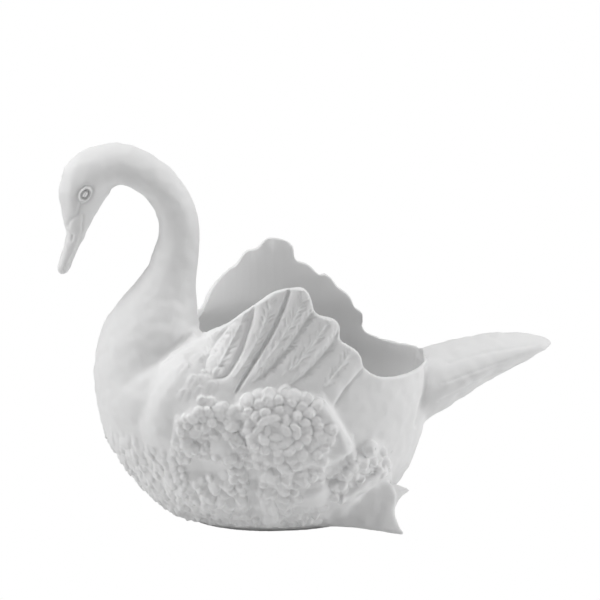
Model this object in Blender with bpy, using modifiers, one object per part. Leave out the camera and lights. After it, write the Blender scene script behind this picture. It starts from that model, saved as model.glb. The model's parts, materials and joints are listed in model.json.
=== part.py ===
# A swan jardiniere of unglazed bisque porcelain, slip-cast in one piece.
# The swan looks towards -X, its tail points to +X, and its base stands on Z = 0.
# Its left side is at -Y. Lengths are in metres.

import math

import bmesh
import bpy
import numpy as np
from mathutils import Vector
from mathutils.bvhtree import BVHTree
from mathutils.kdtree import KDTree

# Overall size, that the finished form is fitted to
LENGTH = 0.300  # from the beak to the tip of the tail
HEIGHT = 0.2335  # from the base to the top of the neck

# Walls of the casting
WALL = 0.0040  # thickness of the shell, square to its surface
RIM_WALL = 0.0025  # the shell thins to this at the tips of the wings
FLOOR = 0.0055  # thickness of the flat bottom of the bowl

# Flat oval that the figurine stands on
BASE_LENGTH = 0.112
BASE_WIDTH = 0.072
BASE_CENTRE_X = -0.016
BASE_SQUARENESS = 2.05

# Bowl and breast
BODY_WIDTH = 0.126  # across the flanks, at the widest waterline
WING_START_Z = 0.070  # the wall starts to thin here
RIM_EDGE_Z = 0.105  # and has its rim thickness from here up
NECK_FILL = 0.0045  # the wall is this much thicker where the neck stands on it
NECK_FOOT_Z = (0.105, 0.124)  # and grows to it between these heights

# Tail
TAIL_WIDTH = 0.056  # across the tail where it leaves the bowl
TAIL_SQUARENESS = 1.8

# Webbed feet
WEB_THICKNESS = 0.0042
TOE_RADIUS = 0.0026
TOE_TIP_RADIUS = 0.0011
WEB_NOTCH = 0.23  # how far the web is cut in between the toes, as a share of their length

# Relief on the outside of the bowl
SHOULDER_HEIGHT = 0.0044
SHOULDER_RAMP = 0.0050  # from the foot of the shoulder's front edge to its top
SHOULDER_REACH = 0.0320  # it falls back to the hull over this distance
TUFT_HEIGHT = 0.0030
TUFT_RAMP = 0.0040
VANE_HEIGHT = 0.0020  # how much a flight feather is domed
COVERT_HEIGHT = 0.0012  # layer of small feathers over the lower flanks
COVERT_RAMP = 0.0060
PLAIN_FOOT = 0.0030  # the wall is plain up to here, for a clean outline at the base
CARVED_FROM = 0.0110  # and fully carved from here up
CARVED_SKIN = 0.0035  # what lies this deep in the solid stays where it is

# How finely the form is carved
VOXEL = 0.0012
JOIN_ROUNDS = 14  # smoothing passes where the neck and the tail run into the bowl
EDGE_ROUNDS = 5  # smoothing passes that round the rim and the toes
MOST_TRIANGLES = 11600

# Waterlines of the hull: height, x at the breast, x where it is widest, x at the rump,
# width as a share of BODY_WIDTH, squareness of the oval.
WATERLINES = (
    (0.004, -0.0795, -0.016, 0.0450, 0.660, 2.1),
    (0.010, -0.0882, -0.014, 0.0510, 0.745, 2.1),
    (0.020, -0.0997, -0.012, 0.0580, 0.845, 2.1),
    (0.032, -0.1088, -0.010, 0.0650, 0.925, 2.1),
    (0.046, -0.1178, -0.008, 0.0705, 0.975, 2.1),
    (0.062, -0.1250, -0.006, 0.0745, 1.000, 2.15),
    (0.080, -0.1280, -0.004, 0.0760, 1.000, 2.2),
    (0.092, -0.1250, -0.003, 0.0760, 0.985, 2.2),
    (0.102, -0.1120, -0.002, 0.0755, 0.970, 2.25),
    (0.110, -0.0940, 0.000, 0.0750, 0.960, 2.3),
    (0.118, -0.0765, 0.000, 0.0745, 0.955, 2.35),
    (0.126, -0.0695, 0.000, 0.0740, 0.960, 2.4),
    (0.142, -0.0690, 0.000, 0.0740, 0.975, 2.4),
    (0.172, -0.0690, 0.000, 0.0740, 1.010, 2.4),
)

# The neck, head and beak: x, z, half depth in the plane of the swan, width as a share of the depth.
SPINE = (
    (-0.0950, 0.0600, 0.0285, 1.15),
    (-0.0955, 0.0780, 0.0322, 1.10),
    (-0.0958, 0.0960, 0.0330, 1.03),
    (-0.0942, 0.1117, 0.0305, 1.00),
    (-0.0896, 0.1255, 0.0262, 1.00),
    (-0.0860, 0.1361, 0.0219, 1.00),
    (-0.0830, 0.1459, 0.0178, 1.00),
    (-0.0803, 0.1547, 0.0150, 1.02),
    (-0.0779, 0.1647, 0.0137, 1.00),
    (-0.0761, 0.1747, 0.0126, 1.00),
    (-0.0759, 0.1838, 0.0120, 1.00),
    (-0.0776, 0.1923, 0.0117, 1.00),
    (-0.0816, 0.2008, 0.0115, 1.00),
    (-0.0884, 0.2096, 0.0115, 1.00),
    (-0.0985, 0.2172, 0.0117, 0.98),
    (-0.1100, 0.2210, 0.0124, 0.95),
    (-0.1190, 0.2196, 0.0134, 0.93),
    (-0.1258, 0.2163, 0.0148, 0.90),
    (-0.1300, 0.2117, 0.0152, 0.89),
    (-0.1326, 0.2065, 0.0145, 0.90),
    (-0.1343, 0.2010, 0.0133, 0.93),
    (-0.1356, 0.1936, 0.0110, 0.98),
    (-0.1367, 0.1869, 0.0085, 1.06),
    (-0.1374, 0.1814, 0.0064, 1.15),
    (-0.1382, 0.1775, 0.0052, 1.25),
    (-0.1404, 0.1721, 0.0046, 1.32),
    (-0.1430, 0.1649, 0.0040, 1.38),
    (-0.1453, 0.1589, 0.0036, 1.35),
    (-0.1467, 0.1560, 0.0026, 1.30),
    (-0.1473, 0.1546, 0.0014, 1.30),
)

# The tail: x, top, underside, half width as a share of TAIL_WIDTH.
TAIL = (
    (0.0580, 0.0985, 0.0560, 0.52),
    (0.0680, 0.1010, 0.0555, 0.51),
    (0.0780, 0.1033, 0.0600, 0.50),
    (0.0870, 0.1054, 0.0655, 0.48),
    (0.0980, 0.1078, 0.0725, 0.445),
    (0.1130, 0.1103, 0.0820, 0.385),
    (0.1240, 0.1108, 0.0878, 0.335),
    (0.1350, 0.1103, 0.0935, 0.270),
    (0.1435, 0.1090, 0.0980, 0.200),
    (0.1498, 0.1070, 0.1016, 0.115),
    (0.1525, 0.1056, 0.1037, 0.045),
)

# The top edge of each wing, from the neck to the tail: x, z. The scallops are the feather tips.
LEFT_RIM = (
    (-0.0780, 0.1320),
    (-0.0700, 0.1235),
    (-0.0648, 0.1210),
    (-0.0613, 0.1228),
    (-0.0569, 0.1270),
    (-0.0499, 0.1330),
    (-0.0418, 0.1410),
    (-0.0327, 0.1487),
    (-0.0255, 0.1547),
    (-0.0190, 0.1577),
    (-0.0110, 0.1590),
    (-0.0067, 0.1588),
    (-0.0037, 0.1560),
    (-0.0013, 0.1500),
    (0.0005, 0.1440),
    (0.0042, 0.1415),
    (0.0102, 0.1399),
    (0.0139, 0.1372),
    (0.0153, 0.1334),
    (0.0156, 0.1262),
    (0.0193, 0.1233),
    (0.0251, 0.1190),
    (0.0275, 0.1154),
    (0.0296, 0.1085),
    (0.0377, 0.1020),
    (0.0464, 0.0996),
    (0.0564, 0.0990),
    (0.0654, 0.0992),
    (0.0720, 0.0995),
)
RIGHT_RIM = (
    (-0.0780, 0.1320),
    (-0.0700, 0.1235),
    (-0.0648, 0.1210),
    (-0.0606, 0.1245),
    (-0.0540, 0.1348),
    (-0.0428, 0.1433),
    (-0.0390, 0.1442),
    (-0.0355, 0.1487),
    (-0.0313, 0.1527),
    (-0.0243, 0.1540),
    (-0.0195, 0.1590),
    (-0.0146, 0.1598),
    (-0.0078, 0.1582),
    (-0.0042, 0.1560),
    (-0.0018, 0.1525),
    (-0.0003, 0.1452),
    (0.0070, 0.1423),
    (0.0140, 0.1359),
    (0.0175, 0.1359),
    (0.0216, 0.1337),
    (0.0255, 0.1280),
    (0.0307, 0.1245),
    (0.0340, 0.1207),
    (0.0362, 0.1157),
    (0.0407, 0.1123),
    (0.0416, 0.1099),
    (0.0420, 0.1010),
    (0.0494, 0.0976),
    (0.0570, 0.0962),
    (0.0660, 0.0970),
    (0.0720, 0.0995),
)

# The left foot: the upper and the lower toe, from the ankle to the tip. The right foot mirrors it.
UPPER_TOE = ((0.008, -0.0400, 0.0220), (0.027, -0.0425, 0.0290), (0.045, -0.0425, 0.0300), (0.0600, -0.0400, 0.0250))
LOWER_TOE = ((0.002, -0.0375, 0.0055), (0.021, -0.0435, 0.0068), (0.040, -0.0485, 0.0048), (0.0553, -0.0520, 0.0020))


# Where smoothing blends one form into the next: centre, reach.
JOINS = (
    ((-0.090, 0.0, 0.112), 0.052),
    ((0.076, 0.0, 0.084), 0.042),
)

# The carving on a flank is seen from the side, as x, z. Both flanks are carved alike.

# Front edge of the shoulder, where the folded wing stands off the breast.
SHOULDER_EDGE = (
    (-0.0720, 0.1225),
    (-0.0788, 0.1188),
    (-0.0902, 0.1080),
    (-0.0990, 0.0943),
    (-0.1019, 0.0786),
    (-0.1000, 0.0619),
    (-0.0930, 0.0500),
)

# Outline of the big tuft of coverts below the flight feathers.
TUFT = (
    (-0.0440, 0.0900),
    (-0.0374, 0.0959),
    (-0.0256, 0.0982),
    (-0.0081, 0.0965),
    (0.0035, 0.0912),
    (0.0123, 0.0818),
    (0.0184, 0.0689),
    (0.0205, 0.0585),
    (0.0140, 0.0520),
    (0.0000, 0.0495),
    (-0.0170, 0.0480),
    (-0.0306, 0.0534),
    (-0.0376, 0.0611),
    (-0.0420, 0.0710),
)

# Smaller tufts and single plump feathers, and the hollows between them:
# x, z, half length, half width, tilt in degrees, height.
LUMPS = (
    (-0.0652, 0.0811, 0.0120, 0.0115, 0, 0.0034),
    (-0.0550, 0.0630, 0.0070, 0.0095, 15, 0.0034),
    (-0.0670, 0.0290, 0.0290, 0.0110, -8, 0.0024),
    (-0.0010, 0.0300, 0.0090, 0.0080, 0, 0.0040),
    (0.0345, 0.0580, 0.0062, 0.0060, 0, 0.0030),
    (0.0260, 0.0480, 0.0120, 0.0050, 0, 0.0018),
    (0.0320, 0.0350, 0.0150, 0.0050, 35, 0.0034),
    (-0.0255, 0.0220, 0.0050, 0.0130, 0, 0.0028),
    (-0.0160, 0.0440, 0.0190, 0.0055, 0, 0.0020),
    (-0.0540, 0.0860, 0.0050, 0.0050, 0, 0.0016),
    (-0.0476, 0.0760, 0.0048, 0.0100, 0, 0.0020),
    (-0.0655, 0.0430, 0.0100, 0.0055, 0, -0.0022),
    (-0.0670, 0.0670, 0.0095, 0.0026, 0, -0.0016),
    (-0.0400, 0.0300, 0.0060, 0.0170, 0, -0.0020),
    (0.0107, 0.0432, 0.0062, 0.0060, 0, -0.0018),
    (0.0330, 0.0230, 0.0130, 0.0040, 35, -0.0014),
)

# Edges of the flight feathers, from the shoulder to the tail. A vane lies between each two.
VANE_EDGES = (
    ((-0.0690, 0.1000), (-0.0690, 0.1080), (-0.0650, 0.1180), (-0.0620, 0.1240)),
    ((-0.0626, 0.1000), (-0.0618, 0.1102), (-0.0568, 0.1171), (-0.0530, 0.1320)),
    ((-0.0570, 0.0970), (-0.0475, 0.1090), (-0.0435, 0.1205), (-0.0405, 0.1320), (-0.0370, 0.1440)),
    ((-0.0465, 0.0920), (-0.0380, 0.1077), (-0.0300, 0.1205), (-0.0235, 0.1334), (-0.0155, 0.1560)),
    ((-0.0330, 0.0960), (-0.0250, 0.1090), (-0.0180, 0.1160), (-0.0110, 0.1255), (-0.0043, 0.1365), (0.0005, 0.1440)),
    ((-0.0100, 0.0910), (0.0030, 0.1000), (0.0063, 0.1077), (0.0160, 0.1250)),
    ((0.0110, 0.0850), (0.0180, 0.0960), (0.0300, 0.1090)),
)

# Upper edge of the ground that the small covert feathers cover.
COVERT_EDGE = (
    (-0.140, 0.058),
    (-0.118, 0.062),
    (-0.104, 0.062),
    (-0.092, 0.046),
    (-0.084, 0.046),
    (-0.080, 0.080),
    (-0.066, 0.093),
    (-0.050, 0.091),
    (-0.044, 0.088),
    (0.012, 0.076),
    (0.025, 0.060),
    (0.034, 0.065),
    (0.042, 0.060),
    (0.047, 0.046),
    (0.050, 0.030),
)


def smooth_table(rows, count):
    """Rows read from a smooth curve through the rows of a table."""
    table = np.array(rows, float)
    last = len(table) - 1
    steps = np.linspace(0, last, count)
    index = np.minimum(steps.astype(int), last - 1)
    t = (steps - index)[:, None]
    before = table[np.maximum(index - 1, 0)]
    start, end = table[index], table[index + 1]
    after = table[np.minimum(index + 2, last)]
    return 0.5 * (
        2 * start
        + (end - before) * t
        + (2 * before - 5 * start + 4 * end - after) * t**2
        + (3 * start - before - 3 * end + after) * t**3
    )


def new_object(name, mesh, collection):
    made = bpy.data.objects.new(name, mesh)
    collection.objects.link(made)
    return made


def loft(name, rings, collection):
    """A closed solid through rings of points that run the same way round."""
    shape = bmesh.new()
    loops = []
    for ring in rings:
        corners = [shape.verts.new(point) for point in ring]
        loops.append([shape.edges.new((a, b)) for a, b in zip(corners, corners[1:] + corners[:1])])
        if ring is rings[0] or ring is rings[-1]:
            shape.faces.new(corners)
    for lower, upper in zip(loops, loops[1:]):
        bmesh.ops.bridge_loops(shape, edges=lower + upper)
    bmesh.ops.recalc_face_normals(shape, faces=shape.faces)
    mesh = bpy.data.meshes.new(name)
    shape.to_mesh(mesh)
    shape.free()
    return new_object(name, mesh, collection)


def power(value, exponent):
    return math.copysign(abs(value) ** exponent, value)


def oval(height, front, widest, rear, half_width, squareness, count=72):
    """One waterline: an egg-shaped oval, longer before its widest point than behind it."""
    ring = []
    for step in range(count):
        angle = math.tau * step / count
        along = power(math.cos(angle), 2 / squareness)
        across = power(math.sin(angle), 2 / squareness)
        reach = rear - widest if along > 0 else widest - front
        ring.append((widest + reach * along, half_width * across, height))
    return ring


def waterlines(count):
    base = (
        0.0,
        BASE_CENTRE_X - BASE_LENGTH / 2,
        BASE_CENTRE_X,
        BASE_CENTRE_X + BASE_LENGTH / 2,
        BASE_WIDTH / 2,
        BASE_SQUARENESS,
    )
    rows = [base]
    for height, front, widest, rear, width, squareness in WATERLINES:
        rows.append((height, front, widest, rear, width * BODY_WIDTH / 2, squareness))
    return smooth_table(rows, count)


def wall_at(height):
    share = min(max((height - WING_START_Z) / (RIM_EDGE_Z - WING_START_Z), 0.0), 1.0)
    return WALL + (RIM_WALL - WALL) * share


def hull(collection):
    return loft("hull", [oval(*row) for row in waterlines(90)], collection)


def cavity(collection):
    """The inside of the bowl: the waterlines, moved in by the wall."""
    steepest = 3.2
    rows = waterlines(160)
    slopes = np.gradient(rows, axis=0) / np.gradient(rows[:, 0])[:, None]
    rings = []
    for row, slope in zip(rows, slopes):
        height, front, widest, rear, half_width, squareness = row
        if height < FLOOR:
            continue
        wall = wall_at(height)
        front += wall * min(math.hypot(1, slope[1]), steepest)
        front += np.interp(height, NECK_FOOT_Z, (0.0, NECK_FILL))
        rear -= wall * math.hypot(1, slope[3])
        half_width -= wall * math.hypot(1, slope[4])
        rings.append(oval(height, front, widest, rear, half_width, squareness))
    rings.append([(x, y, z + WALL) for x, y, z in rings[-1]])
    return loft("bowl_cavity", rings, collection)


def neck_and_head(collection):
    rows = smooth_table(SPINE, 110)
    centres = [Vector((x, 0, z)) for x, z, _, _ in rows]
    rings = []
    for index, (x, z, depth, share) in enumerate(rows):
        along = centres[min(index + 1, len(rows) - 1)] - centres[max(index - 1, 0)]
        outward = Vector((along.z, 0, -along.x)).normalized()
        ring = []
        for step in range(48):
            angle = math.tau * step / 48
            point = centres[index] + outward * (depth * math.cos(angle))
            ring.append(point + Vector((0, depth * share * math.sin(angle), 0)))
        rings.append(ring)
    return loft("neck", rings, collection)


def tail(collection):
    rings = []
    for x, top, under, share in smooth_table(TAIL, 60):
        middle, half_height = (top + under) / 2, (top - under) / 2
        ring = []
        for step in range(48):
            angle = math.tau * step / 48
            across = power(math.cos(angle), 2 / TAIL_SQUARENESS)
            up = power(math.sin(angle), 2 / TAIL_SQUARENESS)
            ring.append((x, TAIL_WIDTH * share * across, middle + half_height * up))
        rings.append(ring)
    return loft("tail", rings, collection)


def rim_cutter(name, rim, side, collection):
    """Everything above the edge of one wing."""
    top = WATERLINES[-1][0]
    points = [tuple(row) for row in smooth_table(rim, 200)]
    clear = 0.03
    start, end = points[0], points[-1]
    outline = [(start[0] - 3 * clear, start[1])] + points + [(end[0] + clear, end[1])]
    outline += [(end[0] + clear, top + clear), (start[0] - 3 * clear, top + clear)]
    near, far = side * -1e-5, side * BODY_WIDTH
    rings = [[(x, y, z) for x, z in outline] for y in (near, far)]
    return loft(name, rings, collection)


def tube(name, points, radius, tip_radius, collection):
    """A toe: a round bar that thins towards its tip."""
    curve = bpy.data.curves.new(name, "CURVE")
    curve.dimensions = "3D"
    curve.bevel_depth = 1.0
    curve.bevel_resolution = 3
    curve.use_fill_caps = True
    spline = curve.splines.new("POLY")
    rows = smooth_table(points, 24)
    spline.points.add(len(rows) - 1)
    for index, (point, row) in enumerate(zip(spline.points, rows)):
        share = index / (len(rows) - 1)
        point.co = (*row, 1)
        point.radius = radius + (tip_radius - radius) * share**2
    bar = new_object(name, curve, collection)
    return as_mesh(bar, collection)


def as_mesh(source, collection):
    """The object's evaluated shape as a welded mesh object in its place."""
    graph = bpy.context.evaluated_depsgraph_get()
    mesh = bpy.data.meshes.new_from_object(source.evaluated_get(graph))
    shape = bmesh.new()
    shape.from_mesh(mesh)
    bmesh.ops.remove_doubles(shape, verts=shape.verts, dist=1e-6)
    bmesh.ops.recalc_face_normals(shape, faces=shape.faces)
    shape.to_mesh(mesh)
    shape.free()
    name = source.name
    bpy.data.objects.remove(source)
    return new_object(name, mesh, collection)


def web(name, side, collection):
    """The skin between the two toes, cut in at its free edge."""
    along, across = 26, 14
    upper, lower = smooth_table(UPPER_TOE, along), smooth_table(LOWER_TOE, along)
    rings = []
    for index in range(along):
        share = index / (along - 1)
        line = []
        for step in range(across + 1):
            v = step / across
            reach = share * (1 - WEB_NOTCH * math.sin(math.pi * v)) * (along - 1)
            low = min(int(reach), along - 2)
            t = reach - low
            top = upper[low] + (upper[low + 1] - upper[low]) * t
            foot = lower[low] + (lower[low + 1] - lower[low]) * t
            line.append(foot + (top - foot) * v)
        rings.append(line)
    half = WEB_THICKNESS / 2
    normal = Vector(upper[-1] - lower[-1]).cross(Vector((1, 0, 0))).normalized()
    sections = []
    for line in rings:
        front = [Vector(p) + normal * half for p in line]
        back = [Vector(p) - normal * half for p in reversed(line)]
        sections.append([(p.x, side * -p.y, p.z) for p in front + back])
    return loft(name, sections, collection)


def foot(label, side, collection):
    pieces = [web(f"{label}_web", side, collection)]
    for toe, points in (("upper_toe", UPPER_TOE), ("lower_toe", LOWER_TOE)):
        mirrored = [(x, side * -y, z) for x, y, z in points]
        pieces.append(tube(f"{label}_{toe}", mirrored, TOE_RADIUS, TOE_TIP_RADIUS, collection))
    return pieces


def joined(name, pieces, collection):
    """Closed shapes that overlap, in one mesh, for the voxel remesh to weld."""
    shape = bmesh.new()
    for piece in pieces:
        shape.from_mesh(piece.data)
        bpy.data.objects.remove(piece)
    mesh = bpy.data.meshes.new(name)
    shape.to_mesh(mesh)
    shape.free()
    return new_object(name, mesh, collection)


def remesh(target):
    step = target.modifiers.new("carve", "REMESH")
    step.mode = "VOXEL"
    step.voxel_size = VOXEL


def cut(target, tool):
    step = target.modifiers.new(f"cut {tool.name}", "BOOLEAN")
    step.operation = "DIFFERENCE"
    step.object = tool
    step.solver = "EXACT"
    tool.hide_render = True
    tool.display_type = "WIRE"


def soften(target, rounds, group=""):
    step = target.modifiers.new("soften", "SMOOTH")
    step.factor = 0.5
    step.iterations = round(rounds)
    step.vertex_group = group


def join_weights(target):
    """A vertex group that is strongest where the neck and the tail meet the bowl."""
    group = target.vertex_groups.new(name="joins")
    for vertex in target.data.vertices:
        weight = 0.0
        for centre, reach in JOINS:
            away = (vertex.co - Vector(centre)).length / reach
            weight = max(weight, min(1.0, 2.0 - 2.0 * away))
        if weight > 0:
            group.add([vertex.index], weight, "REPLACE")
    return group.name


def fade(value, start, end):
    """0 at the start and 1 at the end, eased."""
    share = np.clip((value - start) / (end - start), 0, 1)
    return share * share * (3 - 2 * share)


def line_distance(flat, points):
    """How far places lie from a smooth line, on which side of it, and where along it."""
    rows = smooth_table(points, 8 * len(points))
    away = np.full(len(flat), LENGTH)
    side = np.zeros(len(flat))
    along = np.zeros(len(flat))
    travelled = 0.0
    for start, end in zip(rows, rows[1:]):
        edge = end - start
        length = math.hypot(*edge)
        share = np.clip(((flat - start) @ edge) / length**2, 0, 1)
        gap = flat - start - share[:, None] * edge
        distance = np.sqrt((gap**2).sum(axis=1))
        nearer = distance < away
        away[nearer] = distance[nearer]
        side[nearer] = np.sign(edge[0] * gap[nearer, 1] - edge[1] * gap[nearer, 0])
        along[nearer] = travelled + share[nearer] * length
        travelled += length
    return away, side, along / travelled


def inside_outline(flat, outline):
    inside = np.zeros(len(flat), bool)
    for (x0, z0), (x1, z1) in zip(outline, outline[1:] + outline[:1]):
        if z0 != z1:
            crosses = (z0 > flat[:, 1]) != (z1 > flat[:, 1])
            inside ^= crosses & (flat[:, 0] < (x1 - x0) * (flat[:, 1] - z0) / (z1 - z0) + x0)
    return inside


class Relief:
    """Heights carved on the outside of the bowl, both sides alike."""

    def __init__(self, mesh, skin):
        self.places = np.array([vertex.co for vertex in mesh.vertices])
        self.flat = self.places[:, (0, 2)]
        self.raised = np.zeros(len(self.places))
        self.skin = skin
        self.tree = KDTree(len(self.places))
        for index, place in enumerate(self.places):
            self.tree.insert(place, index)
        self.tree.balance()

    def lump(self, x, z, half_length, half_width, tilt, height):
        """A soft bump, or a hollow where the height is negative."""
        direction = Vector((math.cos(tilt), 0, math.sin(tilt)))
        for side in (-1, 1):
            start = Vector((x, side * BODY_WIDTH, z))
            place, outward, _, _ = self.skin.ray_cast(start, Vector((0, -side, 0)))
            reach = 1.6 * max(half_length, half_width)
            found = np.array([index for _, index, _ in self.tree.find_range(place, reach)], int)
            across = outward.cross(direction).normalized()
            along = across.cross(outward).normalized()
            offset = self.places[found] - np.array(place)
            away = np.hypot(offset @ np.array(along) / half_length, offset @ np.array(across) / half_width)
            self.raised[found] += height * (1 - fade(away, 0.1, 1.5))

    def shoulder(self):
        """The folded wing stands off the breast along its front edge."""
        away, side, along = line_distance(self.flat, SHOULDER_EDGE)
        behind = np.where(side > 0, away, -away)
        step = fade(behind, -0.3 * SHOULDER_RAMP, SHOULDER_RAMP)
        step *= 1 - fade(behind, SHOULDER_RAMP, SHOULDER_REACH)
        self.raised += SHOULDER_HEIGHT * step * fade(along, 0.0, 0.15) * (1 - fade(along, 0.75, 1.0))

    def tuft(self):
        away = line_distance(self.flat, TUFT + TUFT[:1])[0]
        inside = np.where(inside_outline(self.flat, TUFT), away, -away)
        self.raised += TUFT_HEIGHT * fade(inside, -0.3 * TUFT_RAMP, TUFT_RAMP)

    def coverts(self):
        """The layer of small feathers, as one soft step."""
        edge_x, edge_z = zip(*COVERT_EDGE)
        below = np.interp(self.flat[:, 0], edge_x, edge_z, right=0.0) - self.flat[:, 1]
        self.raised += COVERT_HEIGHT * fade(below, 0.0, COVERT_RAMP)

    def vane(self, front, rear):
        """A flight feather between two edges, domed across."""
        away_front, side_front, along_front = line_distance(self.flat, front)
        away_rear, side_rear, along_rear = line_distance(self.flat, rear)
        between = (side_front < 0) & (side_rear > 0)
        across = (away_front - away_rear) / (away_front + away_rear)
        body = (1 - across**2) * fade((along_front + along_rear) / 2, 0.0, 0.35)
        self.raised[between] += VANE_HEIGHT * body[between]

    def carve(self, mesh):
        """Moves the outside square to the hull. The foot and the inside stay plain."""
        nearest = [self.skin.find_nearest(place) for place in self.places]
        outward = np.array([found[1] for found in nearest])
        depth = ((np.array([found[0] for found in nearest]) - self.places) * outward).sum(axis=1)
        share = fade(np.abs(outward[:, 1]), 0.1, 0.5) * (1 - fade(depth, 0.0, CARVED_SKIN))
        share *= fade(self.places[:, 2], PLAIN_FOOT, CARVED_FROM)
        moved = self.places + outward * (self.raised * share)[:, None]
        mesh.vertices.foreach_set("co", moved.ravel())
        mesh.update()


def fitted(mesh):
    """The finished form at its length and height, over the origin, on a base that is flat."""
    places = np.empty(len(mesh.vertices) * 3)
    mesh.vertices.foreach_get("co", places)
    places = places.reshape(-1, 3)
    low, high = places.min(axis=0), places.max(axis=0)
    places -= ((low[0] + high[0]) / 2, (low[1] + high[1]) / 2, low[2])
    places *= (LENGTH / (high[0] - low[0]), 1.0, HEIGHT / (high[2] - low[2]))
    places[:, 2] = np.where(places[:, 2] < VOXEL / 2, 0.0, places[:, 2])
    mesh.vertices.foreach_set("co", places.ravel())
    mesh.update()


def build(collection):
    shapes = bpy.data.collections.new("swan shapes")
    bpy.context.scene.collection.children.link(shapes)
    bowl = hull(shapes)
    skin = BVHTree.FromObject(bowl, bpy.context.evaluated_depsgraph_get())
    for name, rim, side in (("left_rim_cutter", LEFT_RIM, -1), ("right_rim_cutter", RIGHT_RIM, 1)):
        cut(bowl, rim_cutter(name, rim, side, shapes))
    bowl = as_mesh(bowl, shapes)
    pieces = [bowl, neck_and_head(shapes), tail(shapes)]
    pieces += foot("left_foot", -1, shapes) + foot("right_foot", 1, shapes)
    swan = joined("solid_swan", pieces, shapes)
    remesh(swan)
    swan = as_mesh(swan, shapes)
    soften(swan, JOIN_ROUNDS, join_weights(swan))
    swan = as_mesh(swan, shapes)

    relief = Relief(swan.data, skin)
    relief.shoulder()
    relief.tuft()
    relief.coverts()
    for front, rear in zip(VANE_EDGES, VANE_EDGES[1:]):
        relief.vane(front, rear)
    for x, z, half_length, half_width, tilt, height in LUMPS:
        relief.lump(x, z, half_length, half_width, math.radians(tilt), height)
    relief.carve(swan.data)

    cut(swan, cavity(shapes))
    remesh(swan)
    soften(swan, EDGE_ROUNDS)
    figurine = as_mesh(swan, collection)
    figurine.name = figurine.data.name = "swan_figurine"
    fitted(figurine.data)
    for helper in list(shapes.objects):
        bpy.data.objects.remove(helper)
    bpy.data.collections.remove(shapes)
    return figurine


def bisque_porcelain():
    """White porcelain fired without a glaze: matt, very slightly warm grey."""
    material = bpy.data.materials.new("bisque_porcelain")
    material.use_nodes = True
    shader = material.node_tree.nodes["Principled BSDF"]
    shader.inputs["Base Color"].default_value = (0.78, 0.78, 0.77, 1)
    shader.inputs["Roughness"].default_value = 0.65
    shader.inputs["Metallic"].default_value = 0.0
    return material


def main():
    while bpy.data.objects:
        bpy.data.objects.remove(bpy.data.objects[0])
    collection = bpy.data.collections.new("swan figurine")
    bpy.context.scene.collection.children.link(collection)
    figurine = build(collection)
    figurine.data.materials.append(bisque_porcelain())
    fewer = figurine.modifiers.new("fewer faces", "DECIMATE")
    fewer.ratio = MOST_TRIANGLES / (2 * len(figurine.data.polygons))
    figurine.data.shade_smooth()


if __name__ == "__main__":
    main()
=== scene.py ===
import json
import math
import random

import bmesh
import bpy
import numpy as np
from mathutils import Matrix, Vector, noise
from mathutils.bvhtree import BVHTree
from mathutils.kdtree import KDTree

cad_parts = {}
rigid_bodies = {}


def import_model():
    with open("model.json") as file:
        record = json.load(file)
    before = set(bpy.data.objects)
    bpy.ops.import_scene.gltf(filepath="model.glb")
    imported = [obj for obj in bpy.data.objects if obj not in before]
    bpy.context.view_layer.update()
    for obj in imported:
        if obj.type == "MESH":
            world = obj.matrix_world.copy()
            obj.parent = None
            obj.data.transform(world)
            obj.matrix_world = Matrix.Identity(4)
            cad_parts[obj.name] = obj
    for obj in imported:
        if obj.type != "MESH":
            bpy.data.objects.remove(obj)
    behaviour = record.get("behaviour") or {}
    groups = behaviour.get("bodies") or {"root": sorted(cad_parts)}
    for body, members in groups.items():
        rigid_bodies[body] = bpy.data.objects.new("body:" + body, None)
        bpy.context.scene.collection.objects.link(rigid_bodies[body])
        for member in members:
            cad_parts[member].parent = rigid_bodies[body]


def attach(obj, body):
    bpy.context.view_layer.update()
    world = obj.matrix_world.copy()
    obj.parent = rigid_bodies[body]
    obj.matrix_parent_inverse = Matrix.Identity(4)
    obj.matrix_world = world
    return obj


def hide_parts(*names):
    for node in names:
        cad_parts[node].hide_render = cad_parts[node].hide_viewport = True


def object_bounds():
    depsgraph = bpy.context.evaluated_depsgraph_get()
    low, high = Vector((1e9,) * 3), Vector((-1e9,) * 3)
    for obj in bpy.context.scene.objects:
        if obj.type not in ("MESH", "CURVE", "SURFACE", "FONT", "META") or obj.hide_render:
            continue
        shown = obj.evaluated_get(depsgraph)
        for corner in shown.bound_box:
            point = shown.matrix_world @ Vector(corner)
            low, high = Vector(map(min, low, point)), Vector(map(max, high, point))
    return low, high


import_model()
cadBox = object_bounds()

# The swan looks towards -X and its left side is at -Y. Lengths are in metres.
swan = {
    "wall": 0.0040,  # shell of the casting
    "rimWall": 0.0025,  # the shell at the tips of the wings
    "floor": 0.0055,
    "baseLength": 0.112,  # flat oval that it stands on
    "baseWidth": 0.072,
    "baseCentreX": -0.016,
    "bodyWidth": 0.126,
    "bowlTop": 0.172,
    "wingStartZ": 0.070,
    "rimEdgeZ": 0.105,
    "neckFill": 0.0045,  # the wall is this much thicker where the neck stands on it
    "neckFootZ": (0.105, 0.124),
    "tailWidth": 0.056,
    "tailSquareness": 1.8,
    "coarseVoxel": 0.0012,
    "fineVoxel": 0.0006,
    "joinRounds": 14,
    "edgeRounds": 3,
    "mostTriangles": 194000,
}

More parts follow.
